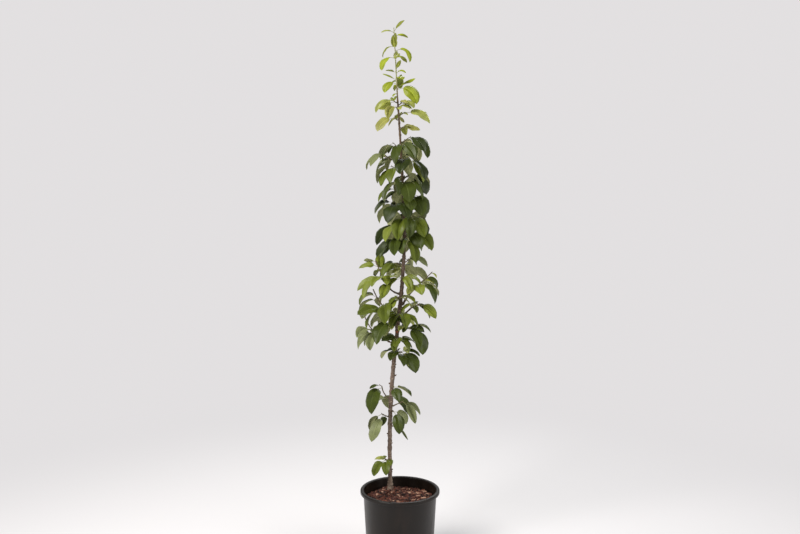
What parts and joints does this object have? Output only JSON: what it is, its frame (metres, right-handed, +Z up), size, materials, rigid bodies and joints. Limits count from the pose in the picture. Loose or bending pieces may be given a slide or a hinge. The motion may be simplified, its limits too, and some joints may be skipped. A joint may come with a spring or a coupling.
{
  "type": "dwarf apple tree in a pot",
  "caption": "Slim young dwarf apple tree of column shape, leafy from its foot to its leader shoot, growing in a round tapered black nursery pot filled with bark potting mix.",
  "frame": {"origin": "centre of the pot's flat underside", "axes": "+Z up along the pot's axis, +Y from the front of the picture to its back, +X to its right"},
  "size_m": [0.273, 0.3043, 1.7456],
  "materials": {
    "black_plastic": "satin moulded",
    "bark_mulch": "rough chips",
    "bark": "rough bark",
    "leaf_foot": "satin leaf",
    "leaf_lower": "satin leaf",
    "leaf_middle": "satin leaf",
    "leaf_upper": "satin leaf",
    "leaf_crest": "satin leaf",
    "leaf_leader": "satin leaf"
  },
  "bodies": {
    "root": {"pot": "black_plastic", "potting_mix": "bark_mulch", "trunk": "bark", "bough_right_high": "bark", "bough_right_low": "bark", "bough_left_high": "bark", "bough_left_middle": "bark", "bough_left_low": "bark", "bough_back_high": "bark", "bough_back_low": "bark", "foliage_leader": "leaf_leader", "foliage_crest_left_high": "leaf_crest", "foliage_crest_right_high": "leaf_crest", "foliage_crest_front": "leaf_crest", "foliage_crest_right_low": "leaf_crest", "foliage_crest_left_low": "leaf_crest", "foliage_crest_right_foot": "leaf_crest", "foliage_head_01": "leaf_upper", "foliage_head_02": "leaf_upper", "foliage_head_03": "leaf_upper", "foliage_head_04": "leaf_upper", "foliage_head_05": "leaf_upper", "foliage_head_06": "leaf_upper", "foliage_head_07": "leaf_upper", "foliage_head_08": "leaf_upper", "foliage_head_09": "leaf_upper", "foliage_head_10": "leaf_upper", "foliage_head_11": "leaf_upper", "foliage_head_12": "leaf_upper", "foliage_head_13": "leaf_upper", "foliage_head_14": "leaf_upper", "foliage_head_15": "leaf_upper", "foliage_shoulder_left": "leaf_middle", "foliage_right_high": "leaf_middle", "foliage_right_low": "leaf_middle", "foliage_right_inner": "leaf_middle", "foliage_right_foot": "leaf_middle", "foliage_right_neck": "leaf_middle", "foliage_left_high": "leaf_middle", "foliage_left_middle": "leaf_middle", "foliage_left_low": "leaf_middle", "foliage_left_inner": "leaf_middle", "foliage_front_high": "leaf_middle", "foliage_front_fork": "leaf_middle", "foliage_front_middle": "leaf_middle", "foliage_front_low": "leaf_middle", "foliage_back_high": "leaf_middle", "foliage_back_low": "leaf_middle", "foliage_back_neck": "leaf_middle", "foliage_back_foot": "leaf_middle", "foliage_lower_left_high": "leaf_lower", "foliage_lower_right_high": "leaf_lower", "foliage_lower_front": "leaf_lower", "foliage_lower_right_low": "leaf_lower", "foliage_lower_left_low": "leaf_lower", "foliage_lower_lone": "leaf_lower", "foliage_lower_back": "leaf_lower", "foliage_foot_left": "leaf_foot"}
  },
  "joints": []
}
